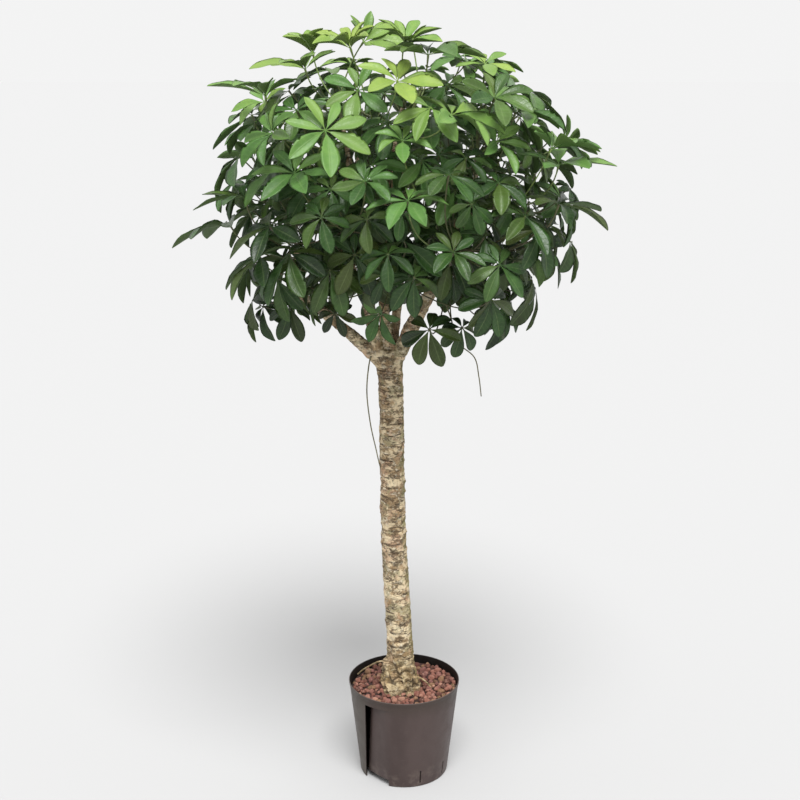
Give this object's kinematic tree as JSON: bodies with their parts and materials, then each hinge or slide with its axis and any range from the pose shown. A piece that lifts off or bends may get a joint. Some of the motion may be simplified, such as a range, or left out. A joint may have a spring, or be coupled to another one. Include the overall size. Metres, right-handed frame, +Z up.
{
  "type": "potted umbrella plant",
  "caption": "Umbrella plant standard: a round crown of fingered leaves on a bare trunk, in a tapered plastic pot of clay granules.",
  "frame": {"origin": "centre of the underside of the pot", "axes": "+Z up along the trunk; -Y towards the front of the plant"},
  "size_m": [0.7716, 0.7016, 1.4804],
  "materials": {
    "pot_plastic": "moulded dark brown-grey plastic with a soft sheen",
    "clay": "dusty matt fired clay pebbles",
    "bark": "matt mottled beige and grey-brown bark with scar rings",
    "leaf_mature": "dark green waxy leaf with a soft gloss",
    "leaf_young": "light yellow-green young leaf with a soft gloss"
  },
  "bodies": {
    "root": {"pot": "pot_plastic", "clay_granules": "clay", "trunk": "bark", "shoot_01": "leaf_mature", "young_01": "leaf_young", "shoot_02": "leaf_mature", "young_02": "leaf_young", "shoot_03": "leaf_mature", "young_03": "leaf_young", "shoot_04": "leaf_mature", "young_04": "leaf_young", "shoot_05": "leaf_mature", "young_05": "leaf_young", "shoot_06": "leaf_mature", "young_06": "leaf_young", "shoot_07": "leaf_mature", "young_07": "leaf_young", "shoot_08": "leaf_mature", "young_08": "leaf_young", "shoot_09": "leaf_mature", "young_09": "leaf_young", "shoot_10": "leaf_mature", "young_10": "leaf_young", "shoot_11": "leaf_mature", "young_11": "leaf_young", "shoot_12": "leaf_mature", "young_12": "leaf_young", "shoot_13": "leaf_mature", "young_13": "leaf_young", "shoot_14": "leaf_mature", "young_14": "leaf_young", "shoot_15": "leaf_mature", "young_15": "leaf_young", "shoot_16": "leaf_mature", "young_16": "leaf_young", "shoot_17": "leaf_mature", "young_17": "leaf_young", "shoot_18": "leaf_mature", "young_18": "leaf_young", "shoot_19": "leaf_mature", "young_19": "leaf_young", "shoot_20": "leaf_mature", "young_20": "leaf_young", "shoot_21": "leaf_mature", "young_21": "leaf_young", "shoot_22": "leaf_mature", "young_22": "leaf_young", "shoot_23": "leaf_mature", "young_23": "leaf_young", "shoot_24": "leaf_mature", "young_24": "leaf_young", "shoot_25": "leaf_mature", "young_25": "leaf_young", "shoot_26": "leaf_mature", "young_26": "leaf_young", "shoot_27": "leaf_mature", "young_27": "leaf_young", "shoot_28": "leaf_mature", "young_28": "leaf_young"}
  },
  "joints": []
}
